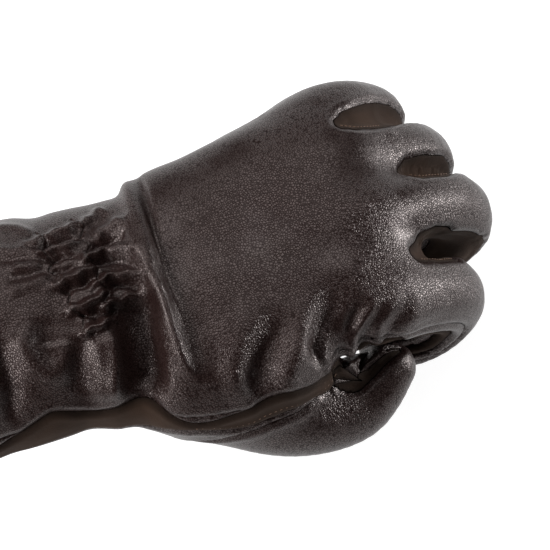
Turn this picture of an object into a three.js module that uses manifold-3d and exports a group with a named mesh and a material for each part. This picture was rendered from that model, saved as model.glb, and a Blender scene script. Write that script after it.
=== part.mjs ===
// A left faux leather glove, worn in a loose fist, in millimetres.
// The cuff runs along -X, the fingers point along +X and curl under, the back of the hand faces +Z,
// the little finger is on the +Y side and the thumb on the -Y side. The origin is in the middle of the
// gathered wrist.
import * as THREE from 'three';
import { mergeVertices } from 'three/addons/utils/BufferGeometryUtils.js';
import Module from 'manifold-3d';

const wasm = await Module();
wasm.setup();

// Driving sizes
const wall = 2;              // thickness of the leather and of the brown strips
const seamGap = 0.3;         // clearance between neighbouring panels
const mouthX = -62;          // end of the cuff
const handEndX = 99;         // web between the fingers
const handHalf = 40;         // half the hand's width, to turn millimetres into a share of it
const fingerTurn = 13;       // degrees that the fingers point towards +Y
const foldRoot = 1.2;        // how deep a fold's ridge is rooted in the wall
const foldSink = 0.2;        // share of a fold's height by which its feet lie under the leather
const foldEnd = 0.15;        // share of a fold's size left at its ends
const roundings = 3;         // passes that round off the bends of a digit
const headingSpan = 0.05;    // share of a digit's length over which its heading is taken
const weldStep = 1e-4;       // corners closer than this are one corner

// Fineness of the faceted surfaces
const handSides = 24;        // corners of the hand's outer section
const liningSides = 16;      // corners of its inner section
const digitSteps = [0, 0.1, 0.22, 0.33, 0.44, 0.53, 0.59, 0.65, 0.72, 0.84, 1]; // closer at the bend
const digitAngles = [0, 42, 74, 106, 138, 180, 222, 254, 286, 318]; // corners of a digit's section
const liningAngles = [0, 45, 90, 135, 180, 225, 270, 315];          // corners of its inner section
const tipTurns = [35, 68];   // degrees of the rings that close a digit's round tip
const foldPlaces = [0, 0.35, 0.65, 1];
const foldProfile = [[-1, 0], [-0.35, 0.9], [0.35, 0.9], [1, 0]];   // across and up, in half widths and heights

// The seams between the panels
const stripThrough = 5;      // reach of a strip's cutter to both sides of the hand's wall
const bandStep = 9;          // longest step of a cutter along the hand
const bandSpread = 1.5;      // a cutter's angles grow more than on a circle of the hand's width
const digitReach = 3;        // reach of a cutter outside a digit
const thumbReach = 0.8;      // the same at the thumb, which lies close to the index finger
const digitCore = 0.55;      // share of a digit's radius that its cutters leave out
const tipReach = 0.85;       // share of the radius that a strip runs on past a digit's last joint
const goreTip = 0.4;         // half the width of a web's gore at its point
const goreWidth = 3.2;       // half its width at the strips
const goreReach = 17;        // reach of its cutter above and below the fingers' middles
const sideStripEnd = 62;     // the side strip's end at the thumb
const palmSeamEnd = 78;      // where the little finger's seam takes over from the palm's
const seamHalfDegrees = 0.2; // half the palm seam's gap as an angle
const nearSide = [-42, 42];  // degrees of a strip round a digit, on its +Y side
const farSide = [138, 222];  // the same on its -Y side
const indexSide = [190, 232];
const thumbSide = [75, 130];
const indexRoot = { from: 60, to: 84, angles: [186, 208] }; // the index strip's stretch along the hand
const stripStation = 2;      // path stations where the index strip, the thumb's strip, the thumb's leather
const thumbStripStation = 5; // and the seams along the fingers begin
const sleeveStation = 2;
const seamStation = 1;

// A row for each section of the cuff and hand: place, middle height, edge on the little finger's side and on
// the thumb's side, height above and below the middle, squareness
const handRows = rowsOf(['x', 'z', 'ulnar', 'radial', 'up', 'down', 'square'], [
  [-62, 0, 36.0, -36.0, 27.0, 28.0, 2.0],
  [-50, 0, 35.8, -35.6, 26.8, 27.5, 2.0],
  [-39, 0, 35.3, -35.0, 26.5, 27.0, 2.0],
  [-28, 0, 35.0, -34.6, 25.8, 26.0, 2.0],
  [-19, 0, 34.2, -34.2, 25.0, 25.5, 2.0],
  [-12, 0, 32.4, -33.3, 23.6, 24.5, 2.0],
  [-6, 0, 33.0, -33.8, 23.8, 24.0, 2.0],
  [0, 0, 33.8, -36.5, 22.6, 24.0, 2.0],
  [5, 0, 33.5, -39.5, 21.6, 24.0, 2.0],
  [10, 0, 32.4, -42.0, 22.6, 24.5, 2.1],
  [14.5, 0, 31.6, -43.8, 24.4, 25.0, 2.2],
  [19, 0, 33.0, -45.0, 23.2, 25.5, 2.2],
  [24, 0, 37.0, -46.0, 23.8, 25.5, 2.3],
  [36, 0, 40.0, -46.5, 21.7, 24.5, 2.4],
  [50, 0.5, 44.0, -45.0, 19.2, 22.5, 2.4],
  [59, 1, 46.5, -41.5, 18.0, 20.5, 2.4],
  [67, 1, 48.2, -36.0, 17.2, 19.0, 2.4],
  [78, 1, 49.6, -33.5, 15.6, 16.0, 2.4],
  [90, -1, 50.6, -29.0, 11.4, 12.0, 2.3],
  [99, -5, 46.0, -22.0, 6.0, 7.0, 2.2],
]);

// A row for each raised fold on the back: its two ends, half its width and its height over the leather
const foldRows = rowsOf(['x0', 'y0', 'x1', 'y1', 'half', 'high'], [
  [-16, 17, 0, 20, 3.0, 1.1],
  [-15, 10.5, -1, 11.5, 3.0, 1.2],
  [-14, 6, -5, 7, 2.2, 0.9],
  [-13, 0, 2, 2, 3.2, 1.3],
  [-12, -8, 2, -6, 3.0, 1.3],
  [-10, -16, 2, -15, 3.0, 1.2],
  [-2, 6, 9, 7.5, 2.6, 1.0],
  [-1, -9.5, 8, -8.5, 2.6, 1.0],
  [24, -40, 43, -26, 5.0, 1.3],
  [39, -39, 57, -21, 5.0, 1.1],
  [64, -34, 74, -27, 2.6, 1.0],
]);

// A row for each joint of a digit: place of the joint's middle and the digit's radius there
const digitColumns = ['x', 'y', 'z', 'radius'];
const fingerRows = {
  index: rowsOf(digitColumns, [
    [52, -24, 2, 10.5], [77.9, -23.3, 1.5, 12.6], [110.5, -14.0, -26.5, 12.2], [93.0, -18.0, -45, 11.0],
    [72.0, -22.5, -42, 8.5],
  ]),
  middle: rowsOf(digitColumns, [
    [58, 1, 5, 10.0], [86.9, 3.5, 5, 11.2], [116.5, 12.4, -20, 11.2], [117.5, 11.0, -35, 11.4],
    [100, 8.5, -49.5, 10.4], [80, 4, -46, 8.5],
  ]),
  ring: rowsOf(digitColumns, [
    [58, 21, 3, 9.5], [85, 25.5, 3, 10.2], [117.6, 35.6, -27.5, 10.2], [97, 30, -48, 9.6], [79, 26, -45.5, 7.8],
  ]),
  little: rowsOf(digitColumns, [
    [56, 38, -3, 8.5], [83, 45.2, -2.5, 10.2], [107, 50.2, -25.5, 9.2], [90, 47.5, -41, 8.8], [75, 44, -39, 7],
  ]),
};
const thumbRows = rowsOf(digitColumns, [
  [8, -18, -8, 15], [36, -33.5, -15, 16], [50, -41.5, -21, 12.8], [66.3, -43.0, -25.6, 11.6],
  [74, -39.5, -23.5, 10.8], [81, -35.5, -20.5, 8.8],
]);

// The brown side strip: how far its edges lie above and below the hand's edge on the thumb's side, in degrees
const sideSeam = rowsOf(['x', 'top', 'bottom'], [
  [-66, 2, 16], [-38, 3, 16], [-24, 17, 14], [-8, 4, 14], [0, 13, 14], [7, 19, 14], [13, 10, 14],
  [18, 3, 16], [30, 7, 18], [44, 12, 18], [55, 6, 16], [66, 10, 14],
]);

// Where the seam between back and palm runs below the hand's edge on the little finger's side, in degrees
const ulnarSeam = rowsOf(['x', 'below'], [[-66, 11], [40, 11], [58, 2], [78, 29], [84, 40]]);

// A row for each web between two fingers: the path stations between which its gore widens
const webRows = rowsOf(['near', 'far', 'from', 'to'], [
  ['index', 'middle', 3, 5],
  ['middle', 'ring', 3, 5],
  ['ring', 'little', 2, 5],
]);

// The brown gusset in the crotch of the thumb: its three corners, the way it faces and how deep it is cut
const gussetCorners = [[64, -37.3, -5], [71, -40, -13.9], [61, -36.5, -13.4]];
const gussetFacing = new THREE.Vector3(-0.12, -0.405, 0.906);
const gussetDepth = 9;
const gussetRise = 3;

const group = new THREE.Group();

function rowsOf(columns, rows) {
  return rows.map(row => Object.fromEntries(columns.map((column, i) => [column, row[i]])));
}

// Smooth value of one column at a place along a table, through every row
function between(rows, place, column, key) {
  const last = rows.length - 1;
  let i = 0;
  while (i < last - 1 && place > rows[i + 1][key]) i++;
  const a = rows[i], b = rows[i + 1];
  const before = rows[Math.max(i - 1, 0)], after = rows[Math.min(i + 2, last)];
  const span = b[key] - a[key];
  const t = THREE.MathUtils.clamp((place - a[key]) / span, 0, 1);
  const slopeA = (b[column] - before[column]) / (b[key] - before[key]) * span;
  const slopeB = (after[column] - a[column]) / (after[key] - a[key]) * span;
  const t2 = t * t, t3 = t2 * t;
  return (2 * t3 - 3 * t2 + 1) * a[column] + (t3 - 2 * t2 + t) * slopeA
    + (3 * t2 - 2 * t3) * b[column] + (t3 - t2) * slopeB;
}

// Closed surface through rings of points, each ring in the same order, with a fan over both ends.
// Its squares are split in mirrored ways on the two halves, so that thin ribbons keep their thickness.
function closedLoft(rings) {
  const sides = rings[0].length;
  const points = rings.flat();
  const index = [];
  for (let r = 0; r < rings.length - 1; r++) {
    for (let s = 0; s < sides; s++) {
      const next = (s + 1) % sides;
      const a = r * sides + s, b = r * sides + next, c = a + sides, d = b + sides;
      index.push(...(s < sides / 2 ? [a, b, d, a, d, c] : [a, b, c, b, d, c]));
    }
  }
  for (const [ring, start, outward] of [[rings[0], 0, false], [rings.at(-1), points.length - sides, true]]) {
    const centre = ring.reduce((sum, p) => sum.add(p), new THREE.Vector3()).divideScalar(sides);
    const tip = points.push(centre) - 1;
    for (let s = 0; s < sides; s++) {
      const a = start + s, b = start + (s + 1) % sides;
      index.push(...(outward ? [a, b, tip] : [b, a, tip]));
    }
  }
  const geometry = new THREE.BufferGeometry().setFromPoints(points);
  geometry.setIndex(index);
  return solidOf(geometry);
}

// The same through rings that turn sharply: a closed span between each two rings, joined
function bentLoft(rings) {
  return wasm.Manifold.union(rings.slice(1).map((ring, i) => closedLoft([rings[i], ring])));
}

function solidOf(geometry) {
  geometry.deleteAttribute('normal');
  geometry.deleteAttribute('uv');
  const merged = mergeVertices(geometry, weldStep);
  let mesh = new wasm.Mesh({
    numProp: 3,
    vertProperties: Float32Array.from(merged.attributes.position.array),
    triVerts: Uint32Array.from(merged.index.array),
  });
  let solid = new wasm.Manifold(mesh);
  if (solid.volume() < 0) {
    mesh = new wasm.Mesh({
      numProp: 3,
      vertProperties: mesh.vertProperties,
      triVerts: mesh.triVerts.map((v, i, all) => all[i - (i % 3) + [0, 2, 1][i % 3]]),
    });
    solid = new wasm.Manifold(mesh);
  }
  return solid;
}

// Point of the hand's section at a station, by its angle from +Y over the back of the hand, moved in or scaled
function handPoint(x, angle, inset, scale) {
  const at = column => between(handRows, x, column, 'x');
  const c = Math.cos(angle), s = Math.sin(angle);
  const power = 2 / at('square');
  const half = (at('ulnar') - at('radial')) / 2 - inset;
  const y = half * Math.sign(c) * Math.abs(c) ** power;
  const z = ((s > 0 ? at('up') : at('down')) - inset) * Math.sign(s) * Math.abs(s) ** power;
  return new THREE.Vector3(x, (at('ulnar') + at('radial')) / 2 + y * scale, at('z') + z * scale);
}

function handLoft(stations, sides, inset) {
  const turns = Array.from({ length: sides }, (_, s) => 2 * Math.PI * s / sides);
  return closedLoft(stations.map(x => turns.map(angle => handPoint(x, angle, inset, 1))));
}

// Point and outward direction on the back of the hand, over a place in plan
function backPoint(x, y) {
  const at = column => between(handRows, x, column, 'x');
  const middle = (at('ulnar') + at('radial')) / 2;
  const half = (at('ulnar') - at('radial')) / 2;
  const power = at('square');
  const share = Math.min(Math.abs((y - middle) / half), 0.98);
  const rise = (1 - share ** power) ** (1 / power);
  const outY = Math.sign(y - middle) * share ** (power - 1) / half;
  const outZ = rise ** (power - 1) / at('up');
  const point = new THREE.Vector3(x, y, at('z') + at('up') * rise);
  return { point, normal: new THREE.Vector3(0, outY, outZ).normalize() };
}

// A raised fold: a rounded ridge that swells and dies out between its ends, sunk into the leather
function foldRidge({ x0, y0, x1, y1, half, high }) {
  const along = new THREE.Vector3(x1 - x0, y1 - y0, 0).normalize();
  return closedLoft(foldPlaces.map(t => {
    const swell = Math.max(Math.sin(Math.PI * t), foldEnd);
    const { point, normal } = backPoint(x0 + (x1 - x0) * t, y0 + (y1 - y0) * t);
    const side = new THREE.Vector3().crossVectors(normal, along).normalize();
    const place = (a, b) => point.clone().addScaledVector(side, a * half * swell).addScaledVector(normal, b);
    return [...foldProfile.map(([a, b]) => place(a, (b - foldSink) * high * swell)), place(0, -foldRoot)];
  }));
}

// Path of a digit through its joints with the bends rounded off, as stations with a radius and a heading
function digitPath(rows) {
  let points = rows.map(row => new THREE.Vector4(row.x, row.y, row.z, row.radius));
  for (let pass = 0; pass < roundings; pass++) {
    const cut = [points[0]];
    for (let i = 0; i < points.length - 1; i++) {
      cut.push(points[i].clone().lerp(points[i + 1], 0.25), points[i].clone().lerp(points[i + 1], 0.75));
    }
    points = [...cut, points.at(-1)];
  }
  const place = p => new THREE.Vector3(p.x, p.y, p.z);
  const along = [0];
  for (let i = 1; i < points.length; i++) {
    along.push(along[i - 1] + place(points[i]).distanceTo(place(points[i - 1])));
  }
  const at = distance => {
    let i = 0;
    while (i < along.length - 2 && distance > along[i + 1]) i++;
    return points[i].clone().lerp(points[i + 1], (distance - along[i]) / (along[i + 1] - along[i]));
  };
  const length = along.at(-1);
  const half = length * headingSpan;
  return digitSteps.map(step => {
    const here = at(length * step);
    const ahead = place(at(Math.min(length * step + half, length)));
    const behind = place(at(Math.max(length * step - half, 0)));
    return { middle: place(here), radius: here.w, forward: ahead.sub(behind).normalize() };
  });
}

// Directions across a digit at a station: side is the bending axis, up points away from the palm
function across(forward, sideAxis) {
  const up = new THREE.Vector3().crossVectors(forward, sideAxis).normalize();
  const side = new THREE.Vector3().crossVectors(up, forward).normalize();
  return { side, up };
}

// A digit's skin: rings round its path, closed by a round tip
function digitLoft(path, sideAxis, inset) {
  const rings = [];
  const ring = (middle, radius, forward) => {
    const { side, up } = across(forward, sideAxis);
    return (inset ? liningAngles : digitAngles).map(degrees => {
      const angle = THREE.MathUtils.degToRad(degrees);
      return middle.clone()
        .addScaledVector(side, radius * Math.cos(angle)).addScaledVector(up, radius * Math.sin(angle));
    });
  };
  for (const { middle, radius, forward } of path) rings.push(ring(middle, radius - inset, forward));
  const end = path.at(-1);
  for (const turn of tipTurns) {
    const angle = THREE.MathUtils.degToRad(turn);
    const size = end.radius - inset;
    const middle = end.middle.clone().addScaledVector(end.forward, size * Math.sin(angle));
    rings.push(ring(middle, size * Math.cos(angle), end.forward));
  }
  return bentLoft(rings);
}

const turn = THREE.MathUtils.degToRad(fingerTurn);
const fingerAxis = new THREE.Vector3(-Math.sin(turn), Math.cos(turn), 0);
const thumbAxis = new THREE.Vector3(0.35, 0.35, -0.87).normalize();
const fingers = Object.fromEntries(Object.entries(fingerRows).map(([name, rows]) => [name, digitPath(rows)]));
const thumb = digitPath(thumbRows);

// Outer skin less its lining, which is open at the cuff's mouth
const stations = handRows.map(row => row.x);
const liningStations = stations.slice(1, -1).filter((_, i) => i % 2);
let outer = handLoft(stations, handSides, 0);
for (const row of foldRows) outer = outer.add(foldRidge(row));
let inner = handLoft([mouthX - stripThrough, ...liningStations, handEndX - wall], liningSides, wall);
for (const path of Object.values(fingers)) {
  outer = outer.add(digitLoft(path, fingerAxis, 0));
  inner = inner.add(digitLoft(path.filter((_, i) => i % 2 === 0), fingerAxis, wall));
}
outer = outer.add(digitLoft(thumb, thumbAxis, 0));
inner = inner.add(digitLoft(thumb, thumbAxis, wall));
const shell = outer.subtract(inner);

// A cutter that follows the hand's surface between two angles, which a function of the station gives in degrees
function handBand(from, to, angles, grow) {
  const rings = [];
  const steps = Math.ceil((to - from) / bandStep);
  for (let i = 0; i <= steps; i++) {
    const along = from + (to - from) * i / steps;
    const [low, high] = angles(along).map(THREE.MathUtils.degToRad);
    const x = along + (i === 0 ? -grow : i === steps ? grow : 0);
    const spread = grow / handHalf * bandSpread;
    const arc = [0, 0.5, 1].map(t => low - spread + (high - low + 2 * spread) * t);
    const reach = (stripThrough + grow) / handHalf;
    rings.push([
      ...arc.map(angle => handPoint(x, angle, 0, 1 + reach)),
      ...arc.toReversed().map(angle => handPoint(x, angle, 0, 1 - reach)),
    ]);
  }
  return closedLoft(rings);
}

// A cutter that follows a digit's surface between two angles in degrees, from one station to past its tip
function digitBand(path, sideAxis, fromStation, [low, high], reach, grow) {
  const rings = [];
  const start = path[fromStation], end = path.at(-1);
  const shifted = (ring, by) => ({ ...ring, middle: ring.middle.clone().addScaledVector(ring.forward, by) });
  const ringsFrom = [shifted(start, -grow), ...path.slice(fromStation + 1)];
  const ringsPast = [shifted(end, end.radius * digitCore), shifted(end, end.radius * tipReach + grow)];
  for (const { middle, radius, forward } of [...ringsFrom, ...ringsPast]) {
    const { side, up } = across(forward, sideAxis);
    const spread = grow / radius;
    const a = THREE.MathUtils.degToRad(low) - spread, b = THREE.MathUtils.degToRad(high) + spread;
    const arc = [0, 0.5, 1].map(t => a + (b - a) * t);
    const point = (angle, far) => middle.clone()
      .addScaledVector(side, far * Math.cos(angle)).addScaledVector(up, far * Math.sin(angle));
    rings.push([
      ...arc.map(angle => point(angle, radius + reach + grow)),
      ...arc.toReversed().map(angle => point(angle, radius * digitCore - grow)),
    ]);
  }
  return bentLoft(rings);
}

// A flat ribbon across a digit in the plane of its bending axis, as thick as a seam's gap
function digitRibbon(path, sideAxis, fromStation) {
  const end = path.at(-1);
  const past = { ...end, middle: end.middle.clone().addScaledVector(end.forward, end.radius + digitReach) };
  return bentLoft([...path.slice(fromStation), past].map(({ middle, radius, forward }) => {
    const { side, up } = across(forward, sideAxis);
    return [[1, -1], [1, 1], [-1, 1], [-1, -1]].map(([a, b]) => middle.clone()
      .addScaledVector(side, a * (radius + digitReach)).addScaledVector(up, b * seamGap / 2));
  }));
}

// A pointed gore over the web between two fingers, widening to their strips
function webGore(pathA, pathB, from, to, grow) {
  const rings = [];
  for (let i = from; i <= to; i++) {
    const forward = pathA[i].forward.clone().add(pathB[i].forward).normalize();
    const shift = i === from ? -grow : i === to ? grow : 0;
    const middle = pathA[i].middle.clone().lerp(pathB[i].middle, 0.5).addScaledVector(forward, shift);
    const { side, up } = across(forward, fingerAxis);
    const half = grow + goreTip + (goreWidth - goreTip) * (i - from) / (to - from);
    rings.push([[1, -1], [1, 1], [-1, 1], [-1, -1]].map(([a, b]) => middle.clone()
      .addScaledVector(side, a * half).addScaledVector(up, b * (goreReach + grow))));
  }
  return bentLoft(rings);
}

// A three-cornered cutter over the crotch of the thumb
function gussetPrism(grow) {
  const corners = gussetCorners.map(corner => new THREE.Vector3(...corner));
  const centre = corners.reduce((sum, p) => sum.add(p), new THREE.Vector3()).divideScalar(3);
  const wide = corners.map(p => p.clone().addScaledVector(p.clone().sub(centre).normalize(), 2 * grow));
  const reaches = [-gussetDepth - grow, gussetRise + grow];
  return closedLoft(reaches.map(reach => wide.map(p => p.clone().addScaledVector(gussetFacing, reach))));
}

// Each strip is cut out of the shell, and the rest is cut back by the seam's gap
const pieces = {};
let rest = shell;
function take(name, cutter) {
  pieces[name] = largest(rest.intersect(cutter(0)));
  rest = rest.subtract(cutter(seamGap));
}

function largest(solid) {
  return solid.decompose().sort((a, b) => b.volume() - a.volume())[0];
}

const sideAngles = x => [180 - between(sideSeam, x, 'top', 'x'), 180 + between(sideSeam, x, 'bottom', 'x')];
take('side_strip', grow => handBand(mouthX - 2, sideStripEnd, sideAngles, grow));
take('thumb_gusset', gussetPrism);
take('fourchette_thumb', grow => digitBand(thumb, thumbAxis, thumbStripStation, thumbSide, thumbReach, grow));
take('index_strip', grow => handBand(indexRoot.from, indexRoot.to, () => indexRoot.angles, grow)
  .add(digitBand(fingers.index, fingerAxis, stripStation, indexSide, digitReach, grow)));
for (const { near, far, from, to } of webRows) {
  take(`fourchette_${near}_${far}`, grow => webGore(fingers[near], fingers[far], from, to, grow)
    .add(digitBand(fingers[near], fingerAxis, to - 1, nearSide, digitReach, grow))
    .add(digitBand(fingers[far], fingerAxis, to - 1, farSide, digitReach, grow)));
}
take('thumb_panel', grow => {
  const sleeve = thumb.slice(sleeveStation).map(ring => ({ ...ring, radius: ring.radius + digitReach + grow }));
  return digitLoft(sleeve, thumbAxis, 0);
});

// The last seam parts the back from the palm, along the fingers and the little finger's side of the hand
for (const path of Object.values(fingers)) rest = rest.subtract(digitRibbon(path, fingerAxis, seamStation));
const palmSeam = x => [-seamHalfDegrees, seamHalfDegrees].map(a => a - between(ulnarSeam, x, 'below', 'x'));
rest = rest.subtract(handBand(mouthX - 2, palmSeamEnd, palmSeam, 0));
[pieces.back_panel, pieces.palm_panel] = rest.decompose().sort((a, b) => b.volume() - a.volume());

const leather = { color: 0x2e2422, roughness: 0.45 };
const suede = { color: 0x422c20, roughness: 0.9 };
const leatherPieces = ['back_panel', 'palm_panel', 'thumb_panel'];
for (const [name, solid] of Object.entries(pieces)) {
  const mesh = solid.getMesh();
  const geometry = new THREE.BufferGeometry();
  geometry.setAttribute('position', new THREE.BufferAttribute(Float32Array.from(mesh.vertProperties), 3));
  geometry.setIndex(new THREE.BufferAttribute(Uint32Array.from(mesh.triVerts), 1));
  geometry.computeVertexNormals();
  const look = leatherPieces.includes(name) ? leather : suede;
  const piece = new THREE.Mesh(geometry, new THREE.MeshStandardMaterial({ ...look, metalness: 0 }));
  piece.name = name;
  group.add(piece);
}

export default group;
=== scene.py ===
import bpy
import math
import numpy as np
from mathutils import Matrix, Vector


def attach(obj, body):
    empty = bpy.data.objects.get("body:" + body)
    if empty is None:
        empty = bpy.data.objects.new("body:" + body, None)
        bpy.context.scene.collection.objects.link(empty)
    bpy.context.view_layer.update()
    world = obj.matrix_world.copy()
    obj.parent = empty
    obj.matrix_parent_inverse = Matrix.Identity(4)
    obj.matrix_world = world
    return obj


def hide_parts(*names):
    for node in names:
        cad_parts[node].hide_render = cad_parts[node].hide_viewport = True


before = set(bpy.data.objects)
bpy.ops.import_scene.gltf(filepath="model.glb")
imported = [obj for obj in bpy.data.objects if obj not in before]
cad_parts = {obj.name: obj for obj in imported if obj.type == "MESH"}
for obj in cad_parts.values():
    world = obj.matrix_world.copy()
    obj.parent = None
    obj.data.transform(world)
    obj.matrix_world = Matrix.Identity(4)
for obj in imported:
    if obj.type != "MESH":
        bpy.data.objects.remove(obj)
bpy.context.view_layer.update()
mm = 0.001


# the glove's sizes, in millimetres, in the part's own frame: the cuff runs along -X, the back faces +Z,
# the little finger is on the +Y side
glove = {
    "mouth": -62.0,          # end of the cuff
    "mouthRim": 0.3,         # edges this near it aren't seams
    "box": ((-65.0, -62.0, -64.0), (134.0, 68.0, 32.0)),  # the glove lies between these corners
    "grid": 1.25,            # squares of the skin, cut in half near seams and folds
    "wall": 1.5,             # thickness of the leather with its lining
    "fingerTurn": 13.0,      # degrees that the fingers point towards +Y
    "knuckleBlend": 6.0,     # how softly the fingers run into the hand
    "crotchBlend": 8.0,      # the same for the thumb
    "webAt": (84, 97),       # where the fingers part, less at the outer fingers
    "webBlend": (9.0, 1.2),  # how softly they meet before and after that
    "seamGap": 0.12,         # half the gap between two panels
    "seamDeep": 0.75,        # how deep a seam draws the leather in
    "seamWide": 0.9,         # and how far from the seam
    "swell": (0.25, 2.2, 1.3),  # the roll beside a seam: its height, its distance and its width
    "leaf": (0.8, 1.3, 2.2),  # depth of a strip between fingers, how much deeper its middle is, and where
    "nearSeam": 1.3,         # squares are cut in half this near a seam
    "seamAbove": -30.0,      # where it lies higher than this
    "nearGathers": 1.6,      # and once more this near the rows of stitches on the back
}
# more places where they are cut in half: x from and to, y below and z above
fineAreas = [(-36, 25, 99, 5), (24, 98, -12, -12)]

# a row for each section of the cuff and hand: place, middle height, edge on the little finger's side
# and on the thumb's side, height above and below the middle, squareness
handColumns = ("x", "z", "ulnar", "radial", "up", "down", "square")
handRows = np.array([
    [-66, 0, 36.0, -37.4, 27.0, 28.8, 2.0],
    [-50, 0, 35.8, -37.0, 26.8, 28.4, 2.0],
    [-39, 0, 35.3, -36.5, 26.5, 28.0, 2.0],
    [-28, 0, 35.0, -36.2, 25.8, 27.2, 2.0],
    [-19, 0, 34.6, -35.8, 25.0, 26.6, 2.0],
    [-12, 0, 32.8, -35.4, 23.6, 26.0, 2.0],
    [-6, 0, 33.0, -36.8, 23.8, 26.0, 2.0],
    [0, 0, 33.0, -39.0, 22.6, 26.0, 2.0],
    [5, 0, 32.8, -41.8, 21.6, 26.0, 2.0],
    [10, 0, 32.4, -44.0, 22.6, 26.2, 2.1],
    [14.5, 0, 32.2, -45.8, 23.6, 26.5, 2.2],
    [19, 0, 34.6, -46.8, 23.4, 26.8, 2.2],
    [24, 0, 37.4, -47.6, 23.0, 26.8, 2.3],
    [36, 0, 39.3, -48.0, 21.7, 26.0, 2.4],
    [50, 0.5, 42.6, -45.8, 19.2, 23.4, 2.4],
    [59, 1, 43.8, -40.5, 18.0, 20.5, 2.4],
    [67, 1, 44.6, -32.2, 17.2, 14.2, 2.3],
    [78, 1, 46.0, -31.4, 15.2, 14.0, 2.4],
    [90, -1, 47.0, -29.0, 10.6, 12.0, 2.3],
    [99, -5, 45.0, -22.0, 6.0, 7.0, 2.2],
])

# a row for each joint of a digit: place of the joint's middle and the digit's radius there
digitRows = {
    "index": [[52, -23, 3, 10.5], [78.5, -22.2, 2.0, 12.6], [109.2, -13, -25.5, 12.2],
              [99.5, -15.5, -43.5, 10.4], [85, -17.5, -43, 8.2]],
    "middle": [[58, 1, 5, 10], [86.9, 3.5, 5, 11.2], [115.8, 12.2, -20, 11.5], [116.4, 9.8, -35, 11.3],
               [100, 8, -49.5, 10.4], [80, 4, -46, 8.5]],
    "ring": [[58, 21, 3, 9.5], [85, 25.5, 3, 10.2], [117.4, 33.4, -28, 10.8], [97, 30, -48, 9.6],
             [79, 26, -45.5, 7.8]],
    "little": [[56, 36, -3, 7.5], [84, 45.4, -1.5, 10.6], [107, 49.4, -26, 8.7], [90, 47, -41, 8.6],
               [75, 44, -39, 7]],
    "thumb": [[8, -18, -8, 15], [36, -34.2, -15.3, 16.3], [50, -41.8, -21.2, 13.2], [66, -42.5, -25.6, 11.2],
              [74, -39, -23.5, 9.8], [81, -35, -20.5, 7.6]],
    "crotch": [[60, -37, -15, 5], [70, -34.5, -18, 5.4], [78, -33, -17.5, 4.6]],
    "web": [[56, -36, -10, 5.4], [64, -35.8, -13, 4.8], [69.5, -36.5, -16.5, 4.0]],
}
fingerNames = ("index", "middle", "ring", "little")


def unit(vectors):
    # each vector divided by its length
    return vectors / np.maximum(np.linalg.norm(vectors, axis=-1, keepdims=True), 1e-9)


def signedPower(values, power):
    # the power of each value's size, with the value's sign
    return np.sign(values) * np.abs(values) ** power


def lengthAlong(line):
    # length of the line up to each of its places
    return np.concatenate([[0], np.cumsum(np.linalg.norm(np.diff(line, axis=0), axis=1))])


def between(stations, keys, rows):
    # each column of the rows at the stations, straight between two keys
    return np.stack([np.interp(stations, keys, column) for column in rows.T], 1)


def edgeGap(points, a, b):
    # distance to the line from a to b, and the share of it at the nearest place
    step = b - a
    t = np.clip((points - a) @ step / (step @ step), 0, 1)
    return np.linalg.norm(points - a - t[:, None] * step, axis=1), t


def edgesOf(faces):
    # every face's edges, in the face's order
    sides = faces.shape[1]
    return np.vstack([faces[:, [k, (k + 1) % sides]] for k in range(sides)])


def alongTable(rows, column, x):
    # smooth value of one column at each x: a cubic between two rows, with slopes taken over both neighbours
    keys, values = rows[:, 0], rows[:, column]
    i = np.clip(np.searchsorted(keys, x) - 1, 0, len(keys) - 2)
    before, after = np.maximum(i - 1, 0), np.minimum(i + 2, len(keys) - 1)
    span = keys[i + 1] - keys[i]
    t = np.clip((x - keys[i]) / span, 0, 1)
    slopeA = (values[i + 1] - values[before]) / (keys[i + 1] - keys[before]) * span
    slopeB = (values[after] - values[i]) / (keys[after] - keys[i]) * span
    t2, t3 = t * t, t * t * t
    return ((2 * t3 - 3 * t2 + 1) * values[i] + (t3 - 2 * t2 + t) * slopeA
            + (3 * t2 - 2 * t3) * values[i + 1] + (t3 - t2) * slopeB)


def handShares(points):
    # how far out each point lies in its section, as shares of the section's half width and height
    x = points[:, 0]
    at = {name: alongTable(handRows, k, x) for k, name in enumerate(handColumns) if k}
    middle = (at["ulnar"] + at["radial"]) / 2
    half = (at["ulnar"] - at["radial"]) / 2
    rise = points[:, 2] - at["z"]
    high = np.where(rise > 0, at["up"], at["down"])
    return (points[:, 1] - middle) / half, rise / high, half, high, at["square"]


def handDistance(points):
    # distance to a rounded section: the power mean of both shares less one, over its own steepness
    across, rise, half, high, power = handShares(points)
    a, b = np.abs(across) + 1e-6, np.abs(rise) + 1e-6
    mean = (a ** power + b ** power) ** (1 / power)
    steep = mean ** (1 - power) * np.hypot(a ** (power - 1) / half, b ** (power - 1) / high)
    return -blend((1 - mean) / np.maximum(steep, 0.4 / high), handRows[-1, 0] - points[:, 0], 9)


def handAngle(points):
    # angle round the hand in degrees, from the little finger's edge over the back
    across, rise, _, _, power = handShares(points)
    return np.degrees(np.arctan2(signedPower(rise, power / 2), signedPower(across, power / 2))) % 360


def digitPath(joints):
    # the line through the joints with its corners cut four times, at even stations: place, radius, heading
    line = np.array(joints, float)
    for _ in range(4):
        cut = np.stack([line[:-1] * 0.75 + line[1:] * 0.25, line[:-1] * 0.25 + line[1:] * 0.75], 1)
        line = np.vstack([line[:1], cut.reshape(-1, 4), line[-1:]])
    along = lengthAlong(line[:, :3])
    line = between(np.linspace(0, along[-1], 32), along, line)
    return {"places": line[:, :3], "radii": line[:, 3], "length": along[-1],
            "headings": unit(np.gradient(line[:, :3], axis=0))}


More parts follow.
